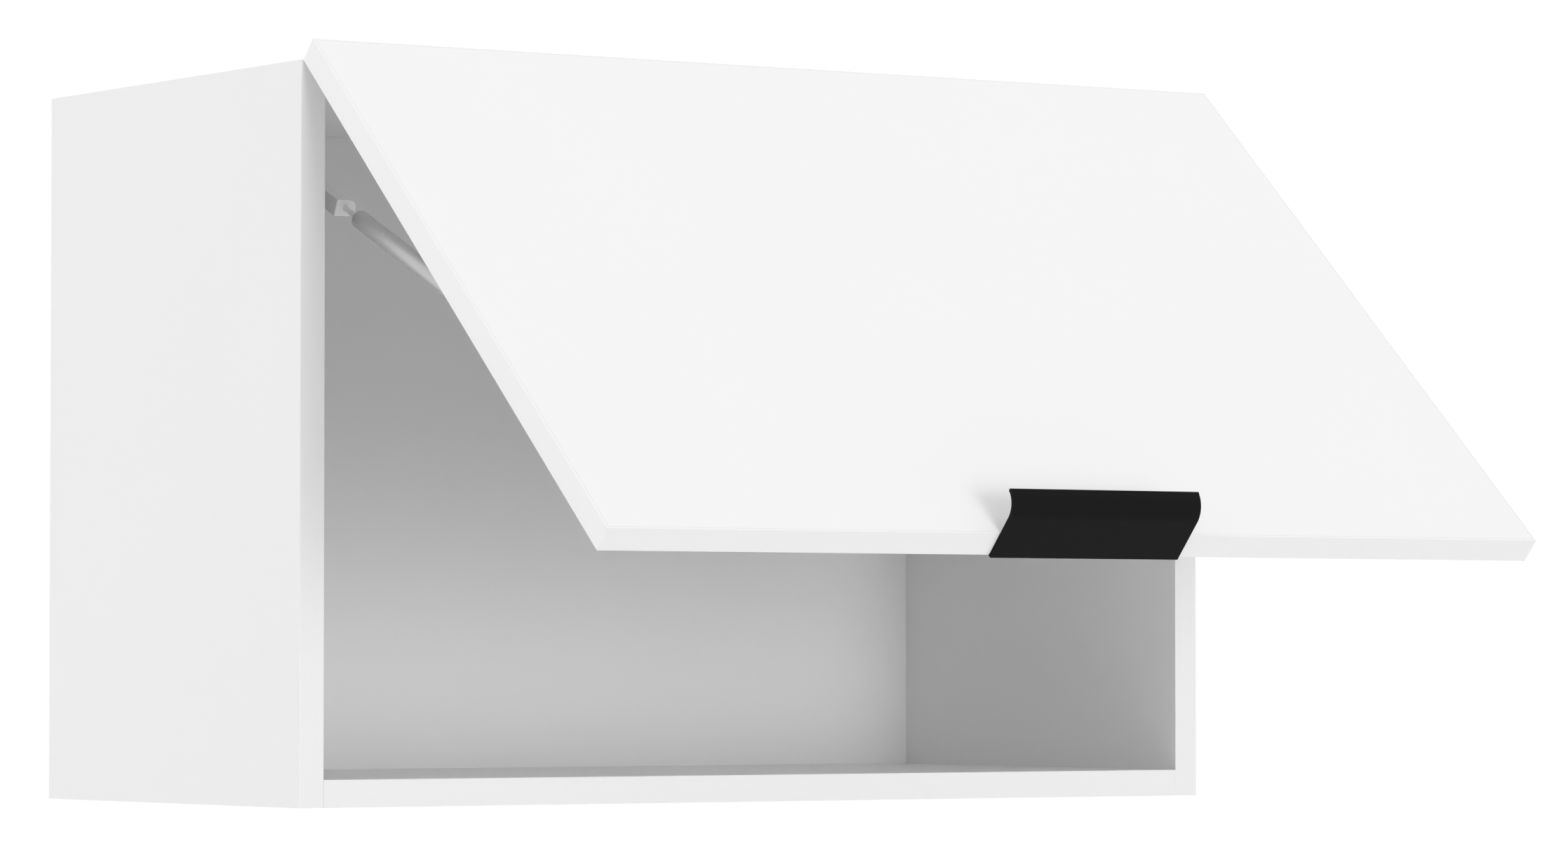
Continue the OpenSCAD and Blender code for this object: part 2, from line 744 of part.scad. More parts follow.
module strut_cylinder(side) color("darkgray")
    on_strut(side) translate([0, 0, tube_start]) rotate_extrude() {
        neck_end = tube_len + neck_len + thread_len;
        bore_r = tube_r - tube_wall;
        polygon([[mouth_r, 0], [tube_r - tube_bevel, 0], [tube_r, tube_bevel],
            [tube_r, tube_len - tube_bevel], [tube_r - tube_bevel, tube_len],
            [neck_r, tube_len], [neck_r, neck_end], [0, neck_end], [0, tube_len - tube_end],
            [bore_r, tube_len - tube_end], [bore_r, tube_lip], [mouth_r, tube_lip]]);
    }

module strut_guide(side) color("dimgray")
    on_strut(side) translate([0, 0, tube_start + tube_lip + guide_seat]) difference() {
        cylinder(r = piston_r, h = guide_len);
        translate([0, 0, -over]) cylinder(r = rod_r + pin_clear, h = guide_len + 2*over);
    }

module strut_top_fitting(side) color("gainsboro")
    on_strut(side) end_fitting(strut_len, upper_fitting_len, -1, neck_r);

module strut_top_stud(side) color("silver")
    on_strut(side) translate([0, 0, strut_len]) {
        flange_face = strut_inset - bracket_t - run_clear;
        flange_back = flange_face - stud_flange_t;
        ball_and_neck(ball_r, stud_r, flange_back + weld);
        rod_x(stud_flange_r, flange_back, flange_face);
        translate([flange_back - hex_t, 0, 0]) rotate([0, 90, 0])
            cylinder(r = hex_r, h = hex_t + weld, $fn = 6);
    }

module strut_rod_left() strut_rod(-1);
module strut_rod_right() strut_rod(1);
module strut_rod_fitting_left() strut_rod_fitting(-1);
module strut_rod_fitting_right() strut_rod_fitting(1);
module strut_cylinder_left() strut_cylinder(-1);
module strut_cylinder_right() strut_cylinder(1);
module strut_guide_left() strut_guide(-1);
module strut_guide_right() strut_guide(1);
module strut_top_fitting_left() strut_top_fitting(-1);
module strut_top_fitting_right() strut_top_fitting(1);
module strut_top_stud_left() strut_top_stud(-1);
module strut_top_stud_right() strut_top_stud(1);

// ---------- wall hangers ----------

hanger_wall = 2;
hanger_front_t = 4;
hanger_corner_r = 4;
hanger_back_clear = 0.05;                          // case to the back panel
peg_r = 5;                                         // pegs that hold a case in the side panel
peg_len = 8;
peg_drop = [14, hanger_h - 12];                    // pegs and screws below the case's top
hanger_screw_drop = [20, 42];
hanger_screw_r = 2.5;
hanger_screw_len = 13;
hanger_screw_head_r = 4.2;
hanger_screw_head_h = 1.4;
hanger_screw_sink = 1.5;                           // heads below the case's face
hanger_screw_room = 0.4;                           // round a head
hook_w = 16;
hook_t = 2.5;
hook_drop = 34;                                    // underside of its arm below the carcass top
hook_behind = 6;                                   // its upright behind the case's face
hook_upright = 30;
hook_tip_drop = 12;
hook_tip_y = -1.8;                                 // rear face of the hook's tip
hook_bore = 20;                                    // room for the screws along the hook's arm
plate_t = 2.5;
plate_h = 50;
plate_gap = 1;                                     // plate to the side panel
plate_hole_rise = 12;
plate_hook_gap = 0.6;                              // plate's stepped part to the hook's tip
plate_tip_clear = 3;                               // plate's bend below that tip
hanger_x = inner_w/2 - hanger_w/2 - run_clear;
hanger_top = inner_top - run_clear;
hanger_front = back_front - hanger_d;
hook_front = hanger_front + hook_behind;
hook_z = carcass_h - hook_drop;
plate_x = inner_w/2 - plate_gap - plate_w/2;

// pegs of a hanger case, and their holes in the side panel
module hanger_pegs(side, spare) {
    for (drop = peg_drop)
        translate([0, back_front - hanger_d/2, hanger_top - drop])
            mirror([side < 0 ? 1 : 0, 0, 0])
                rod_x(peg_r + spare, inner_w/2 - over, inner_w/2 + peg_len + spare);
}

module hanger_screws_at(side) {
    for (drop = hanger_screw_drop)
        translate([side*hanger_x, hanger_front + hanger_screw_sink, hanger_top - drop])
            rotate([90, 0, 0]) children();
}

module hanger_case(side) color("whitesmoke")
    difference() {
        union() {
            translate([side*hanger_x, hanger_front, hanger_top - hanger_h/2])
                rotate([-90, 0, 0]) rounded_plate(hanger_w, hanger_h,
                    hanger_d - hanger_back_clear, hanger_corner_r);
            hanger_pegs(side, 0);
        }
        // hollow, open to the back
        translate([side*hanger_x, 0, 0])
            box([-hanger_w/2 + hanger_wall, hanger_front + hanger_front_t,
                    hanger_top - hanger_h + hanger_wall],
                [hanger_w/2 - hanger_wall, back_front + over, hanger_top - hanger_wall]);
        hanger_screws_at(side) {
            translate([0, 0, -hanger_front_t])
                cylinder(r = hanger_screw_r + fit_clear, h = hanger_front_t + over);
            cylinder(r = hanger_screw_head_r + hanger_screw_room, h = hanger_screw_sink + over);
        }
    }

// a bent steel strip: it leaves the case through the back and turns down behind the wall plate
module hanger_hook(side) color("silver")
    difference() {
        translate([side*hanger_x, 0, 0]) side_profile(hook_w) {
            translate([hook_front, hook_z]) square([hook_tip_y - hook_front, hook_t]);
            translate([hook_tip_y - hook_t, hook_z - hook_tip_drop])
                square([hook_t, hook_tip_drop + hook_t]);
            translate([hook_front, hook_z - hook_upright])
                square([hook_t, hook_upright + hook_t]);
        }
        hanger_screws_at(side) translate([0, 0, -hook_bore])
            cylinder(r = hanger_screw_r + fit_clear, h = hook_bore);
    }

module hanger_screws() color("gray")
    for (s = [-1, 1]) hanger_screws_at(s)
        pan_screw(hanger_screw_r, hanger_screw_len, hanger_screw_head_r, hanger_screw_head_h);

// plate on the wall, its upper part stepped out for the hook
module wall_plate(side) color("silver")
    difference() {
        step_y = hook_tip_y - hook_t - plate_hook_gap;     // rear face of the stepped part
        bend_z = hook_z - hook_tip_drop - plate_tip_clear;
        low_z = hook_z - plate_h;
        top_z = hook_z - fit_clear;
        translate([side*plate_x, 0, 0])
            side_profile(plate_w) polygon([[0, low_z], [0, bend_z - plate_t],
                [step_y, bend_z], [step_y, top_z], [step_y - plate_t, top_z],
                [step_y - plate_t, bend_z - over], [-plate_t, bend_z - plate_t - over],
                [-plate_t, low_z]]);
        for (i = [-1, 1])
            translate([side*plate_x + i*plate_hole_spacing/2, -plate_t - over,
                low_z + plate_hole_rise]) rotate([-90, 0, 0])
                    cylinder(r = plate_hole_r, h = plate_t + 2*over);
    }

module hanger_case_left() hanger_case(-1);
module hanger_case_right() hanger_case(1);
module hanger_hook_left() hanger_hook(-1);
module hanger_hook_right() hanger_hook(1);
module wall_plate_left() wall_plate(-1);
module wall_plate_right() wall_plate(1);

left_side_panel();
right_side_panel();
top_panel();
bottom_panel();
back_panel();
side_edge_bands();
top_bottom_edge_bands();
dowels();
cam_locks();
cam_bolts();
cam_caps();
hanger_case_left();
hanger_case_right();
hanger_hook_left();
hanger_hook_right();
hanger_screws();
wall_plate_left();
wall_plate_right();
hinge_leaf_top_left();
hinge_leaf_top_right();
hinge_pins();
hinge_screws_top();
strut_bracket_top_left();
strut_bracket_top_right();
strut_screws_top();
door_panel();
door_side_edge_bands();
door_top_bottom_edge_bands();
door_bumpers();
hinge_leaf_door_left();
hinge_leaf_door_right();
hinge_screws_door();
strut_bracket_door_left();
strut_bracket_door_right();
strut_screws_door();
handle();
handle_screws();
strut_rod_left();
strut_rod_right();
strut_rod_fitting_left();
strut_rod_fitting_right();
strut_cylinder_left();
strut_cylinder_right();
strut_guide_left();
strut_guide_right();
strut_top_fitting_left();
strut_top_fitting_right();
strut_top_stud_left();
strut_top_stud_right();
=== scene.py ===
import json
import math

import bpy
import numpy as np
from mathutils import Matrix, Vector


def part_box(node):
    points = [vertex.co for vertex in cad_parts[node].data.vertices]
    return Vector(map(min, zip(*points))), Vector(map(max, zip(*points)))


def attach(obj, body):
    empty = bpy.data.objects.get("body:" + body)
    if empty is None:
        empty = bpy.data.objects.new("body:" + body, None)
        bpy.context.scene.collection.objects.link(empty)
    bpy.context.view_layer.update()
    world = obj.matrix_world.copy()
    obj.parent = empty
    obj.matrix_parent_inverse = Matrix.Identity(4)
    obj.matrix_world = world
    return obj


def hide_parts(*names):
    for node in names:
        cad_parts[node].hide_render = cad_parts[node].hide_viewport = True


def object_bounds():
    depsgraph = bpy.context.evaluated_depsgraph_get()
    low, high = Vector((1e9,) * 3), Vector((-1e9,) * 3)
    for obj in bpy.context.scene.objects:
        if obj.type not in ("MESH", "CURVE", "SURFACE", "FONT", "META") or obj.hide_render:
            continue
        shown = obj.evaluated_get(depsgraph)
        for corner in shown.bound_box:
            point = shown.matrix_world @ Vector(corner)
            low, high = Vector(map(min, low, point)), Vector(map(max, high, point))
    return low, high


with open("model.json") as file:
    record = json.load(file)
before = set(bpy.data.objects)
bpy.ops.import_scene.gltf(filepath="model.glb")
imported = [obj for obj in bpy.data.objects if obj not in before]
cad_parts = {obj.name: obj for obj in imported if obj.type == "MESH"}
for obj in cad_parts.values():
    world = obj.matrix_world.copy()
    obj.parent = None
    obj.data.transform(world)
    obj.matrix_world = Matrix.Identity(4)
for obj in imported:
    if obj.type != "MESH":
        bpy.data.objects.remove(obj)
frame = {"nodes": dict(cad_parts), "record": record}
cad_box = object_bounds()

MM = 0.001
OPEN_ANGLE = math.radians(48)                # of the front at rest, as in the photo
FRONT_DOWN = (0, -math.sin(OPEN_ANGLE), -math.cos(OPEN_ANGLE))
slot_of = {part["node"]: part["material_slot"] for part in frame["record"]["subparts"]}
body_of = {node: body for body, nodes in frame["record"]["behaviour"]["bodies"].items()
           for node in nodes}
strut_axis = Vector(next(joint["axis"] for joint in frame["record"]["behaviour"]["joints"]
                         if joint["name"] == "strut_slide_left"))


# ---------- camera ----------

PHOTO_WIDTH = 2235       # in pixels
FOCAL_PIXELS = 9135.8
SENSOR_WIDTH = 36        # in millimetres
CAMERA_PLACE = Vector((-1.9824, -3.2773, 0.0792))
CAMERA_YAW = 0.5883      # in radians
CAMERA_PITCH = 0.0362
CLIP_NEAR, CLIP_FAR = 0.05, 60


def make_camera():
    data = bpy.data.cameras.new("camera")
    data.sensor_width = SENSOR_WIDTH
    data.lens = SENSOR_WIDTH * FOCAL_PIXELS / PHOTO_WIDTH
    data.clip_start = CLIP_NEAR
    data.clip_end = CLIP_FAR
    camera = bpy.data.objects.new("camera", data)
    camera.location = CAMERA_PLACE
    camera.rotation_euler = (math.pi / 2 + CAMERA_PITCH, 0, -CAMERA_YAW)
    bpy.context.scene.collection.objects.link(camera)
    bpy.context.scene.camera = camera


# ---------- shader nodes ----------

TO_WALL = (0, 1, 0)
WALL_TURN = (0.45, 0.55)         # turned to the wall less or more than this: not, or wholly


def grey(value):
    return (value, value, value)


class Tree:
    """The node tree of one material or world, built from short calls."""

    def __init__(self, owner):
        owner.use_nodes = True
        self.tree = owner.node_tree
        self.nodes = self.tree.nodes

    def add(self, kind, **settings):
        """A new node. Settings that start with in_ set or link its sockets."""
        node = self.nodes.new(kind)
        for name, value in settings.items():
            if not name.startswith("in_"):
                setattr(node, name, value)
        for name, value in settings.items():
            if name.startswith("in_"):
                self.put(self.socket(node, name[3:]), value)
        return node

    def socket(self, node, name):
        if name.isdigit():
            return node.inputs[int(name)]
        return node.inputs[name.replace("_", " ")]

    def put(self, socket, value):
        if isinstance(value, bpy.types.NodeSocket):
            self.tree.links.new(value, socket)
        else:
            socket.default_value = value

    def math(self, operation, a, b=0.0, clamp=False):
        return self.add("ShaderNodeMath", operation=operation, use_clamp=clamp,
                        in_0=a, in_1=b).outputs[0]

    def vector(self, operation, a, b):
        return self.add("ShaderNodeVectorMath", operation=operation, in_0=a, in_1=b)

    def dot(self, vector, direction):
        return self.vector("DOT_PRODUCT", vector, direction).outputs["Value"]

    def scaled(self, vector, factors):
        return self.vector("MULTIPLY", vector, factors).outputs[0]

    def place(self):
        """Position in the model's own frame, in metres."""
        return self.add("ShaderNodeTexCoord").outputs["Object"]

    def facing(self):
        """Surface direction in the model's own frame."""
        return self.add("ShaderNodeTexCoord").outputs["Normal"]

    def faces_wall(self):
        """1 on surfaces that face the wall, 0 on the others."""
        return self.spread(self.dot(self.facing(), TO_WALL), 0, 1, *WALL_TURN)

    def noise(self, place, per_metre, detail, roughness=0.5):
        return self.add("ShaderNodeTexNoise", in_Vector=place, in_Scale=per_metre,
                        in_Detail=detail, in_Roughness=roughness).outputs["Fac"]

    def cells(self, place, per_metre):
        return self.add("ShaderNodeTexVoronoi", in_Vector=place, in_Scale=per_metre)

    def spread(self, value, low, high, from_low=0.0, from_high=1.0):
        """Maps a value to a range, clamped at its ends."""
        return self.add("ShaderNodeMapRange", in_Value=value, in_From_Min=from_low,
                        in_From_Max=from_high, in_To_Min=low, in_To_Max=high).outputs["Result"]

    def mix(self, share, a, b):
        """A colour between a, at share 0, and b, at share 1."""
        node = self.add("ShaderNodeMix", data_type="RGBA", in_0=share)
        for socket, value in ((node.inputs[6], a), (node.inputs[7], b)):
            self.put(socket, value if isinstance(value, bpy.types.NodeSocket) else (*value, 1))
        return node.outputs[2]

    def clouded(self, place, tone, swing, per_metre, detail=2):
        """A grey that drifts by swing to both sides of its tone."""
        cloud = self.noise(place, per_metre, detail)
        return self.mix(cloud, grey(tone - swing), grey(tone + swing))

    def ramp(self, value, *stops):
        """A colour ramp with stops (position, colour)."""
        node = self.add("ShaderNodeValToRGB", in_Fac=value)
        elements = node.color_ramp.elements
        while len(elements) < len(stops):
            elements.new(0.5)
        for element, (position, colour) in zip(elements, stops):
            element.position = position
            element.color = (*colour, 1)
        return node.outputs["Color"]

    def bump(self, height, distance, strength):
        return self.add("ShaderNodeBump", in_Height=height, in_Distance=distance,
                        in_Strength=strength).outputs["Normal"]

    def blend(self, share, a, b):
        """The output of shader a, at share 0, and shader b, at share 1."""
        return self.add("ShaderNodeMixShader", in_0=share, in_1=a, in_2=b).outputs[0]


class Finish(Tree):
    """A material with one Principled shader, set up by keyword."""

    def __init__(self, name):
        self.material = bpy.data.materials.new(name)
        super().__init__(self.material)
        self.shader = self.nodes["Principled BSDF"]

    def surface(self, **values):
        for name, value in values.items():
            if isinstance(value, tuple) and len(value) == 3:
                value = (*value, 1)
            self.put(self.shader.inputs[name.replace("_", " ")], value)


# ---------- finishes ----------

CHIP_COLOURS = ((0.0, (0.30, 0.19, 0.10)), (0.45, (0.50, 0.35, 0.20)), (1.0, (0.66, 0.50, 0.32)))
FLAKE_SHAPE = (1, 1, 2.2)        # the core's flakes lie flat
CORE_HALF = 4.5 * MM             # half the thickness of a board's coarse core
CORE_BLEND = 0.4 * MM            # the core ends over this much to each side

GLUE_LINE = 0.2 * MM             # joint between a board and its edge bands
GLUE_TONE = 0.72                 # as a share of the board's tone

FIBRE_SHAPE = (1, 1, 0.35)       # hardboard's fibres are stretched upwards,
DRAWN_SHAPE = (0.04, 1, 1)       # the handle's grain along its length
BEECH_SHAPE = (0.12, 1, 1)       # and the beech's along the dowels

NECK_BLEND = 0.5 * MM            # the tube's lacquer ends over this length
WIDE_SHARE = 0.4                 # of a cylinder's width: further out is its tube, not its neck


def chipboard(f, place, from_middle):
    """Colour and relief of cut chipboard: coarse flakes in the core, dust near both faces."""
    flakes = f.cells(f.scaled(place, FLAKE_SHAPE), per_metre=420)
    dust = f.cells(place, per_metre=1500)
    coarse, fine = (f.ramp(f.noise(kind.outputs["Color"], per_metre=3, detail=1), *CHIP_COLOURS)
                    for kind in (flakes, dust))
    outer = f.spread(from_middle, 0, 1, CORE_HALF - CORE_BLEND, CORE_HALF + CORE_BLEND)
    relief = f.math("ADD", flakes.outputs["Distance"], dust.outputs["Distance"])
    return f.mix(outer, coarse, fine), relief


def melamine(name, tone=0.875, rear=None, banded=()):
    """White melamine: a fine pearl texture under a satin film.

    rear = (axis, middle) leaves the edge that faces the wall as raw chipboard, whose
    thickness runs along that axis. banded holds (axis, low, high) for each way in which the
    board ends at edge bands, where a fine joint shows.
    """
    f = Finish(name)
    place = f.place()
    colour = f.clouded(place, tone, swing=0.006, per_metre=7)
    rough = f.spread(f.noise(place, per_metre=650, detail=2), low=0.36, high=0.46)
    relief = pearl = f.noise(place, per_metre=1900, detail=2, roughness=0.6)
    for axis, low, high in banded:
        reach = f.dot(place, axis)
        joint = f.math("MAXIMUM", f.math("LESS_THAN", reach, low + GLUE_LINE),
                       f.math("GREATER_THAN", reach, high - GLUE_LINE))
        colour = f.mix(joint, colour, grey(tone * GLUE_TONE))
    if rear is not None:
        axis, middle = rear
        distance = f.math("ABSOLUTE", f.dot(place, axis))
        chips, grain = chipboard(f, place, f.math("ABSOLUTE", f.math("SUBTRACT", distance,
                                                                     middle)))
        raw = f.faces_wall()
        raw_roughness, raw_relief = 0.85, 12
        colour = f.mix(raw, colour, chips)
        rough = f.math("MAXIMUM", rough, f.math("MULTIPLY", raw, raw_roughness))
        relief = f.math("ADD", pearl,
                        f.math("MULTIPLY", raw, f.math("MULTIPLY", grain, raw_relief)))
    f.surface(Base_Color=colour, Roughness=rough, IOR=1.5,
              Normal=f.bump(relief, distance=0.012 * MM, strength=0.5))
    return f.material


def edge_band(name, tone=0.872):
    """Extruded plastic edging: smooth, with a faint even grain."""
    f = Finish(name)
    place = f.place()
    grain = f.noise(place, per_metre=2600, detail=2)
    f.surface(Base_Color=f.clouded(place, tone, swing=0.005, per_metre=9),
              Roughness=f.spread(grain, low=0.32, high=0.42), IOR=1.5,
              Normal=f.bump(grain, distance=0.006 * MM, strength=0.4))
    return f.material


def hardboard(name, tone):
    """Back panel: white lacquer towards the room, raw brown board towards the wall."""
    f = Finish(name)
    place = f.place()
    raw = f.faces_wall()
    raw_roughness, raw_relief = 0.8, 6
    white = f.clouded(place, tone, swing=0.006, per_metre=6)
    fibre = f.noise(f.scaled(place, FIBRE_SHAPE), per_metre=900, detail=5, roughness=0.7)
    blotch = f.noise(place, per_metre=40, detail=4, roughness=0.6)
    dark, pale = (0.13, 0.075, 0.04), (0.34, 0.22, 0.13)
    brown = f.mix(f.math("MULTIPLY", fibre, blotch, clamp=True), dark, pale)
    satin = f.spread(f.noise(place, per_metre=500, detail=2), low=0.42, high=0.52)
    relief = f.math("ADD", f.math("MULTIPLY", raw, f.math("MULTIPLY", fibre, raw_relief)),
                    f.noise(place, per_metre=1500, detail=2))
    f.surface(Base_Color=f.mix(raw, white, brown), IOR=1.48,
              Roughness=f.math("MAXIMUM", satin, f.math("MULTIPLY", raw, raw_roughness)),
              Normal=f.bump(relief, distance=0.015 * MM, strength=0.5))
    return f.material


def black_handle(name):
    """Black coated aluminium: fine grain, drawn along the handle's length."""
    f = Finish(name)
    place = f.place()
    drawn = f.noise(f.scaled(place, DRAWN_SHAPE), per_metre=3200, detail=3)
    grain = f.noise(place, per_metre=4200, detail=2)
    f.surface(Base_Color=f.mix(drawn, grey(0.0055), grey(0.0075)),
              Roughness=f.spread(grain, low=0.42, high=0.55), IOR=1.45,
              Specular_IOR_Level=0.08,
              Normal=f.bump(f.math("ADD", drawn, grain), distance=0.006 * MM, strength=0.5))
    return f.material


def moulded(name, tone):
    """Injection moulded plastic with a fine spark eroded grain."""
    f = Finish(name)
    place = f.place()
    grain = f.noise(place, per_metre=2300, detail=3, roughness=0.6)
    f.surface(Base_Color=f.clouded(place, tone, swing=0.012, per_metre=60),
              Roughness=f.spread(grain, low=0.38, high=0.5), IOR=1.5,
              Normal=f.bump(grain, distance=0.012 * MM, strength=0.5))
    return f.material


def tube_top(node):
    """How far along the strut the wide part of a cylinder reaches."""
    corners = [vertex.co for vertex in frame["nodes"][node].data.vertices]
    low, high = min(c.x for c in corners), max(c.x for c in corners)
    middle, wide = (low + high) / 2, WIDE_SHARE * (high - low)
    return max(c.dot(strut_axis) for c in corners if abs(c.x - middle) > wide)


def lacquered_tube(name, tone, neck_tone_with_painted_sheen, neck_from):
    """Satin grey metallic lacquer on a drawn steel tube, with a bright bare neck above it, whose
    pale, mostly matt grey is partly its own metal and partly painted sheen in place of its
    reflection.
    """
    f = Finish(name)
    place = f.place()
    peel = f.noise(place, per_metre=700, detail=2)
    neck = f.spread(f.dot(place, tuple(strut_axis)), 0, 1, neck_from, neck_from + NECK_BLEND)
    lacquer = f.clouded(place, tone, swing=0.01, per_metre=80, detail=3)
    tube_metal, neck_metal = 0.5, 0.2
    # the neck: bare metal, with painted sheen in its pale grey and low metallic share standing in
    # for a reflection
    f.surface(Base_Color=f.mix(neck, lacquer, grey(neck_tone_with_painted_sheen)),
              Roughness=f.spread(peel, low=0.2, high=0.3), IOR=1.5,
              Metallic=f.spread(neck, tube_metal, neck_metal),
              Normal=f.bump(peel, distance=0.006 * MM, strength=0.4))
    return f.material


def plated(name, tone, rough, warm=0.0):
    """Zinc or nickel plated steel, with faint spangle and handling haze."""
    f = Finish(name)
    place = f.place()
    spangle = f.noise(place, per_metre=350, detail=4, roughness=0.6)
    haze = f.noise(place, per_metre=1400, detail=3)
    dull, bright = ((level, level, level - warm) for level in (tone - 0.04, tone + 0.03))
    f.surface(Base_Color=f.mix(spangle, dull, bright), Metallic=1.0,
              Roughness=f.spread(haze, *rough),
              Normal=f.bump(haze, distance=0.008 * MM, strength=0.4))
    return f.material


def beech(name):
    """Raw beech with its grain along x, the way the dowels lie."""
    f = Finish(name)
    grain = f.noise(f.scaled(f.place(), BEECH_SHAPE), per_metre=1300, detail=5, roughness=0.65)
    dark, pale = (0.42, 0.25, 0.12), (0.68, 0.48, 0.28)
    f.surface(Base_Color=f.mix(grain, dark, pale),
              Roughness=f.spread(grain, low=0.55, high=0.75),
              Normal=f.bump(grain, distance=0.05 * MM, strength=0.5))
    return f.material


def soft_bumper(name):
    """Clear, slightly hazy soft plastic."""
    f = Finish(name)
    haze = f.noise(f.place(), per_metre=900, detail=2)
    f.surface(Base_Color=f.mix(haze, grey(0.74), grey(0.8)),
              Roughness=f.spread(haze, low=0.12, high=0.25), IOR=1.46,
              Transmission_Weight=0.35)
    return f.material


def box_middle(node, axis):
    """The middle of a node's box along an axis, 0 for x to 2 for z."""
    low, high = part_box(node)
    return (low[axis] + high[axis]) / 2


def ends(node, axis):
    """A direction with the least and the most reach of a node along it."""
    reach = [vertex.co.dot(Vector(axis)) for vertex in frame["nodes"][node].data.vertices]
    return axis, min(reach), max(reach)


def make_finishes():
    """One finish for each of the record's slots, and one for each board that needs its own."""
    x, z = (1, 0, 0), (0, 0, 1)
    finishes = {
        "edge_white": edge_band("edge_white"),
        "back_white": hardboard("back_white", tone=0.85),
        "handle_black": black_handle("handle_black"),
        "screw_black": plated("screw_black", tone=0.06, rough=(0.35, 0.5)),
        "fitting_white": moulded("fitting_white", tone=0.88),
        "plastic_white": moulded("plastic_white", tone=0.84),
        # the neck's tone holds painted sheen as well as the colour of its bare metal
        "strut_grey": lacquered_tube("strut_grey", tone=0.55, neck_tone_with_painted_sheen=0.85,
                                     neck_from=tube_top("strut_cylinder_left")),
        "guide_black": moulded("guide_black", tone=0.03),
        "rod_steel": plated("rod_steel", tone=0.72, rough=(0.08, 0.16)),
        "bracket_steel": plated("bracket_steel", tone=0.68, rough=(0.2, 0.32), warm=0.02),
        "screw_steel": plated("screw_steel", tone=0.66, rough=(0.22, 0.36), warm=0.01),
        "zinc_plate": plated("zinc_plate", tone=0.62, rough=(0.3, 0.46), warm=0.015),
        "beech": beech("beech"),
        "bumper_clear": soft_bumper("bumper_clear"),
    }
    side = melamine("board_white_side", rear=(x, abs(box_middle("left_side_panel", 0))))
    # Painted light: the door's edge bands are the carcass's edging with a paler tone (0.9 against
    # 0.872), so the door's edges show brighter than this light makes them
    front_edges_painted_paler = edge_band("edge_white_front", tone=0.9)
    boards = {
        "left_side_panel": side,
        "right_side_panel": side,
        "top_panel": melamine("board_white_top", rear=(z, box_middle("top_panel", 2))),
        "bottom_panel": melamine("board_white_bottom", rear=(z, box_middle("bottom_panel", 2))),
        "door_panel": melamine("board_white_front", tone=0.88,
                               banded=[ends("door_panel", axis) for axis in (x, FRONT_DOWN)]),
        "door_side_edge_bands": front_edges_painted_paler,
        "door_top_bottom_edge_bands": front_edges_painted_paler,
    }
    return finishes, boards


def dress(finishes, boards):
    """Gives each CAD node its finish."""
    for name, node in frame["nodes"].items():
        finish = boards.get(name) or finishes[slot_of[name]]
        if not node.material_slots:
            node.data.materials.append(finish)
        for slot in node.material_slots:
            slot.material = finish


# ---------- pieces shown in place of a node ----------

SHARP_ANGLE = math.radians(35)


def welded(mesh, digits):
    """The places of a mesh's vertices, each once, and each vertex's number among them."""
    spots = {}
    owner = [spots.setdefault(tuple(round(c, digits) for c in vertex.co), len(spots))
             for vertex in mesh.vertices]
    return list(spots), owner


def stand_in(node, ending, verts, faces, finishes):
    """Shows a smooth mesh in place of a node, in its slot and on its body."""
    mesh = bpy.data.meshes.new(node + ending)
    mesh.from_pydata([tuple(v) for v in verts], [], faces)
    mesh.polygons.foreach_set("use_smooth", [True] * len(mesh.polygons))
    mesh.set_sharp_from_angle(angle=SHARP_ANGLE)
    mesh.materials.append(finishes[slot_of[node]])
    piece = bpy.data.objects.new(node + ending, mesh)
    bpy.context.scene.collection.objects.link(piece)
    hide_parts(node)
    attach(piece, body_of[node])


# ---------- screws ----------

# The shank's radius and the height of a pan head (0: countersunk) of each set, as in the CAD.
SCREW_SETS = {
    "hinge_screws_top": (1.5 * MM, 0),
    "hinge_screws_door": (1.5 * MM, 0),
    "handle_screws": (1.5 * MM, 0),
    "strut_screws_top": (1.75 * MM, 1.9 * MM),
    "strut_screws_door": (1.75 * MM, 1.9 * MM),
    "hanger_screws": (2.5 * MM, 1.4 * MM),
}

# In head radii: half the length of the cross recess, half an arm's width, its depth, the rings
# on the head's top, the drop of a countersunk head's bevel, and the radius of a pan head's dome.
RECESS_HALF = 0.58
RECESS_ARM = 0.15
RECESS_DEPTH = 0.42
HEAD_RINGS = (0.72, 0.86, 0.97)
BEVEL_DROP = 0.03
DOME = 1.6

RECESS_FLOOR = 0.62      # outline of the recess's floor, as a share of its mouth's
RIM = 0.4 * MM           # straight rim of a countersunk head
PITCH = 1.6 * MM         # of the wood thread
BARE = 0.5 * PITCH       # shank without a thread, below the head
RINGS_PER_TURN = 5
CORE = 0.7               # root and crest of the thread, as shares of the shank's radius
CREST = 0.99
FLANK = 3.2              # steepness of the thread's ridge
TIP_LENGTH = 2.5         # of the point, in shank radii
TIP_RINGS = (0.66, 0.33, 0.08)
TURN = 2.4               # each next screw stands turned by this, in radians

TOUCH = 1e-6             # corners this near to a screw's end belong to it
TINY = 1e-9


def solids(node):
    """The corners of each separate solid of a node, as arrays."""
    mesh = frame["nodes"][node].data
    spots, owner = welded(mesh, digits=6)
    parent = list(range(len(spots)))

    def root(i):
        while parent[i] != i:
            parent[i] = parent[parent[i]]
            i = parent[i]
        return i

    for edge in mesh.edges:
        a, b = (root(owner[i]) for i in edge.vertices)
        parent[a] = b
    groups = {}
    for vertex, i in zip(mesh.vertices, owner):
        groups.setdefault(root(i), []).append(tuple(vertex.co))
    return [np.array(group) for group in groups.values()]


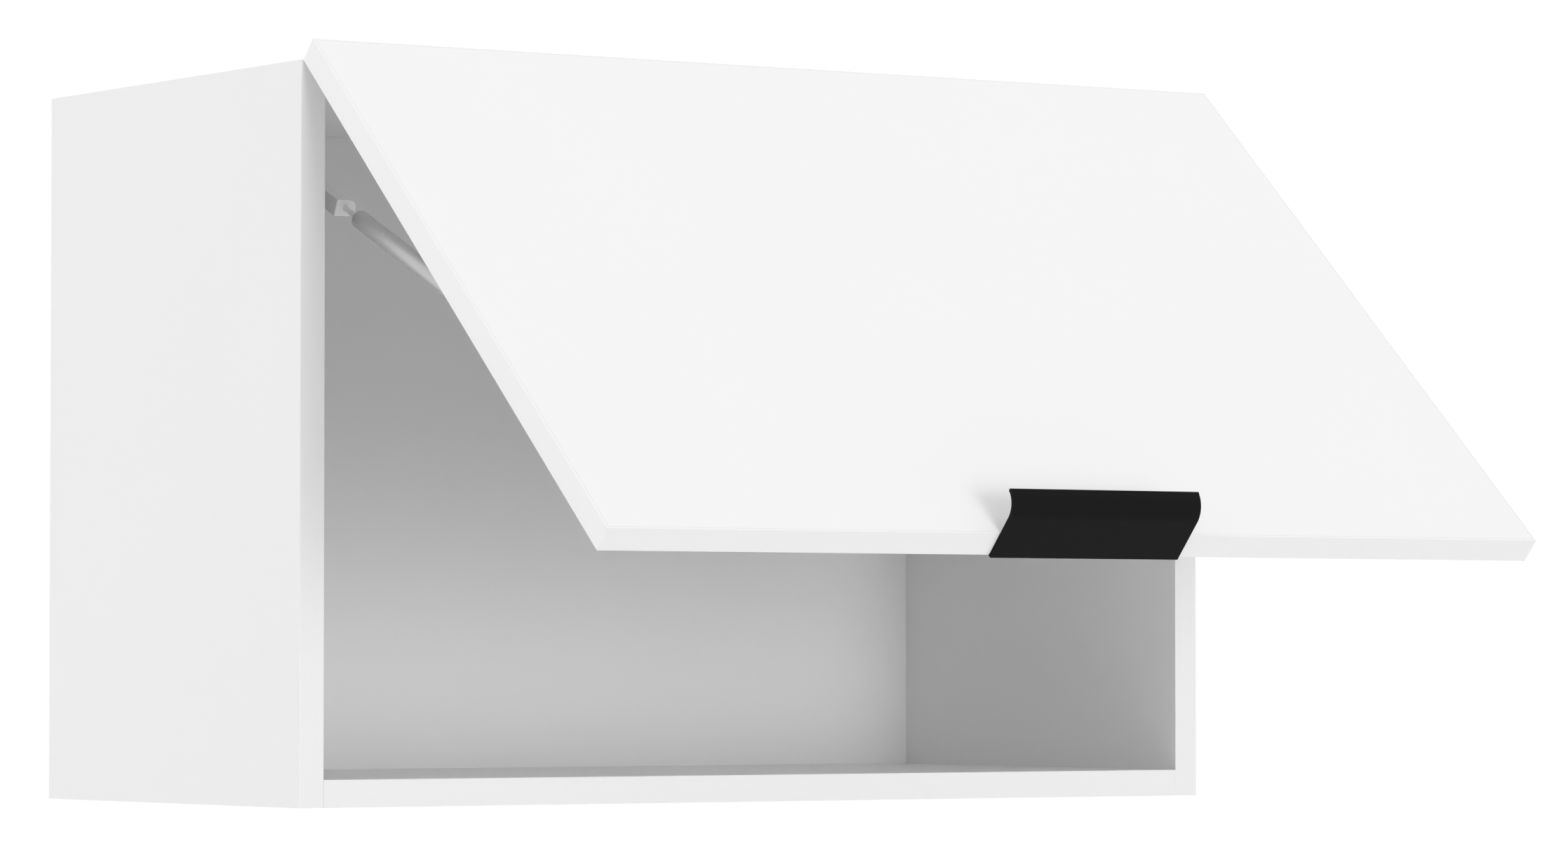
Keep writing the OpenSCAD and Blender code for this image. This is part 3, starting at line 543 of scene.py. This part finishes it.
def along(points):
    """Middle of the head's top, direction out of the head, length and head radius of a screw."""
    middle = (points.min(0) + points.max(0)) / 2
    axis = np.linalg.svd(points - points.mean(0), full_matrices=False)[2][0]
    reach = (points - middle) @ axis
    radius = np.linalg.norm(points - middle - np.outer(reach, axis), axis=1)
    if reach[radius.argmax()] < 0:
        axis, reach = -axis, -reach
    near_tip = points[reach < reach.min() + TOUCH].mean(0)
    length = reach.max() - reach.min()
    radius = np.linalg.norm(points - near_tip - np.outer((points - near_tip) @ axis, axis), axis=1)
    return near_tip + axis * length, axis, length, radius.max()


def cross_outline(half, arm):
    """Angles and radii of a cross recess: half its length, half an arm's width."""
    corner = math.atan2(arm, half)
    quarter = [0, corner, (corner + math.pi / 4) / 2, math.pi / 4,
               math.pi / 2 - (corner + math.pi / 4) / 2, math.pi / 2 - corner]
    angles = [q * math.pi / 2 + a for q in range(4) for a in quarter]
    radii = []
    for a in angles:
        c, s = max(abs(math.cos(a)), TINY), max(abs(math.sin(a)), TINY)
        radii.append(max(min(half / c, arm / s), min(arm / c, half / s)))
    return angles, radii


def screw_rings(length, head, shank, dome):
    """The angles of a screw's corners, and its rings from the floor of the recess to the point.

    Each ring is (radii, height). dome is the height of a pan head, or 0.
    """
    angles, recess = cross_outline(RECESS_HALF * head, RECESS_ARM * head)

    def even(radius):
        return [radius] * len(angles)

    def level(radius):
        return -(DOME * head - math.sqrt((DOME * head) ** 2 - radius ** 2)) if dome else 0.0

    rings = [([RECESS_FLOOR * r for r in recess], even(-RECESS_DEPTH * head)),
             (recess, [level(r) for r in recess])]
    rings += [(even(share * head), even(level(share * head))) for share in HEAD_RINGS]
    if dome:
        start = -dome
        rings += [(even(head), even(level(head))), (even(head), even(start)),
                  (even(shank), even(start))]
    else:
        start = -RIM - (head - shank)
        rings += [(even(head), even(-BEVEL_DROP * head)), (even(head), even(-RIM)),
                  (even(shank), even(start))]
    start -= BARE
    rings.append((even(shank), even(start)))
    point = -length + TIP_LENGTH * shank
    steps = int((start - point) / (PITCH / RINGS_PER_TURN))
    for i in range(1, steps + 1):
        z = start + (point - start) * i / steps
        radii = []
        for a in angles:
            phase = (z / PITCH + a / (2 * math.pi)) % 1
            ridge = max(0.0, 1 - abs(phase - 0.5) * FLANK)
            radii.append(shank * (CORE + (CREST - CORE) * ridge))
        rings.append((radii, even(z)))
    rings += [(even(shank * CORE * share), even(-length + share * TIP_LENGTH * shank))
              for share in TIP_RINGS]
    return angles, rings


def screws(node, shank, dome, finishes):
    """Screws with a cross recess and a thread where the node has its plain ones."""
    verts, faces = [], []
    for number, points in enumerate(sorted(solids(node), key=lambda p: tuple(p.mean(0)))):
        top, axis, length, head = along(points)
        angles, rings = screw_rings(length, head, shank, dome)
        turned = Vector(axis).to_track_quat("Z", "Y").to_matrix().to_4x4()
        place = Matrix.Translation(top) @ turned @ Matrix.Rotation(TURN * number, 4, "Z")
        count, base = len(angles), len(verts)
        for radii, heights in rings:
            verts += [place @ Vector((r * math.cos(a), r * math.sin(a), z))
                      for a, r, z in zip(angles, radii, heights)]
        for ring in range(len(rings) - 1):
            low, high = base + ring * count, base + (ring + 1) * count
            faces += [(low + (i + 1) % count, low + i, high + i, high + (i + 1) % count)
                      for i in range(count)]
        last = base + (len(rings) - 1) * count
        faces += [[base + i for i in range(count)], [last + i for i in reversed(range(count))]]
    stand_in(node, "_cut", verts, faces, finishes)


# ---------- upper strut fittings ----------

NOSE = 5.5 * MM          # the photo's front face of the fitting is this much nearer the cylinder
FRONT_SKIN = 0.1 * MM    # corners this near to the CAD's front face belong to it


def longer_fitting(side, finishes):
    """The upper fitting with its front face at the photo's place, from the CAD's corners."""
    node = "strut_top_fitting_" + side
    mesh = frame["nodes"][node].data
    spots, owner = welded(mesh, digits=7)
    faces = [[owner[i] for i in face.vertices] for face in mesh.polygons]
    verts = [Vector(spot) for spot in spots]
    front = min(v.dot(strut_axis) for v in verts)
    verts = [v - strut_axis * NOSE if v.dot(strut_axis) < front + FRONT_SKIN else v
             for v in verts]
    stand_in(node, "_long", verts, [f for f in faces if len(set(f)) == len(f)], finishes)


# ---------- floor and light ----------

FLOOR_DROP = 0.55        # a worktop's distance below such a cabinet
FLOOR_RADIUS = 1.6
FLOOR_FADE = 0.45        # the fade starts at this share of the radius
FLOOR_RINGS, FLOOR_STEPS = 6, 96


def make_floor():
    """A plain pale disc under the cabinet, faded out towards its rim and clear from below."""
    low, high = cad_box
    centre = Vector(((low.x + high.x) / 2, (low.y + high.y) / 2, low.z - FLOOR_DROP))
    verts = [centre.copy()]
    for ring in range(1, FLOOR_RINGS + 1):
        radius = FLOOR_RADIUS * ring / FLOOR_RINGS
        for step in range(FLOOR_STEPS):
            turn = 2 * math.pi * step / FLOOR_STEPS
            verts.append(centre + Vector((math.cos(turn), math.sin(turn), 0)) * radius)
    faces = [(0, 1 + step, 1 + (step + 1) % FLOOR_STEPS) for step in range(FLOOR_STEPS)]
    for ring in range(1, FLOOR_RINGS):
        inner, outer = 1 + (ring - 1) * FLOOR_STEPS, 1 + ring * FLOOR_STEPS
        for step in range(FLOOR_STEPS):
            after = (step + 1) % FLOOR_STEPS
            faces.append((inner + step, outer + step, outer + after, inner + after))
    mesh = bpy.data.meshes.new("floor")
    mesh.from_pydata([tuple(v) for v in verts], [], faces)
    floor = bpy.data.objects.new("floor", mesh)
    bpy.context.scene.collection.objects.link(floor)

    f = Finish("floor_pale")
    place = f.place()
    offset = f.vector("SUBTRACT", place, tuple(centre)).outputs[0]
    radius = f.add("ShaderNodeVectorMath", operation="LENGTH", in_0=offset).outputs["Value"]
    faded = f.spread(radius, 0, 1, FLOOR_RADIUS * FLOOR_FADE, FLOOR_RADIUS)
    gone = f.math("MAXIMUM", faded, f.add("ShaderNodeNewGeometry").outputs["Backfacing"])
    pale = f.mix(f.noise(place, per_metre=30, detail=3), grey(0.885), grey(0.9))
    f.surface(Base_Color=pale, Roughness=0.7)
    clear = f.add("ShaderNodeBsdfTransparent").outputs[0]
    f.put(f.nodes["Material Output"].inputs["Surface"],
          f.blend(gone, f.shader.outputs[0], clear))
    mesh.materials.append(f.material)


# The studio's soft lights: the way to each one, how narrow it is, and its strength. The wide
# ones make a dome; the narrow ones are softboxes in front of the cabinet and to its left.
LIGHTS = {
    "left_rear": ((-1, 0.5, 0), 2, 1.35),
    "right": ((1, 0, 0), 2, 0.76),
    "above": ((0, 0, 1), 2, 1.35),
    "below": ((0, 0, -1), 2, 1.17),
    "front_box": ((0, -1, 0), 60, 13.4),
    "left_high_box": ((-0.6, -1, 0.35), 40, 0.8),
    "left_low_box": ((-0.3, -1, -0.5), 40, 1.1),
}
WHITE = (1, 1, 1, 1)


def make_world():
    """A soft studio dome that is plain white where it is seen or mirrored."""
    world = bpy.data.worlds.new("studio")
    bpy.context.scene.world = world
    f = Tree(world)
    direction = f.add("ShaderNodeTexCoord").outputs["Generated"]
    total = None
    for way, narrow, strength in LIGHTS.values():
        facing = f.math("MAXIMUM", f.dot(direction, Vector(way).normalized()), 0.0)
        part = f.math("MULTIPLY", f.math("POWER", facing, narrow), strength)
        total = part if total is None else f.math("ADD", total, part)
    dome = f.nodes["Background"]
    f.put(dome.inputs["Color"], WHITE)
    f.put(dome.inputs["Strength"], total)
    seen = f.add("ShaderNodeBackground", in_Color=WHITE, in_Strength=1.0)
    ray = f.add("ShaderNodeLightPath")
    mirrored = f.math("MAXIMUM", ray.outputs["Is Glossy Ray"], ray.outputs["Is Transmission Ray"])
    shown = f.math("MAXIMUM", ray.outputs["Is Camera Ray"], mirrored)
    f.put(f.nodes["World Output"].inputs["Surface"],
          f.blend(shown, dome.outputs[0], seen.outputs[0]))


make_camera()
finishes, boards = make_finishes()
dress(finishes, boards)
for node, (shank, dome) in SCREW_SETS.items():
    screws(node, shank, dome, finishes)
for side in ("left", "right"):
    longer_fitting(side, finishes)
make_floor()
make_world()
bpy.context.scene.view_settings.view_transform = "Standard"
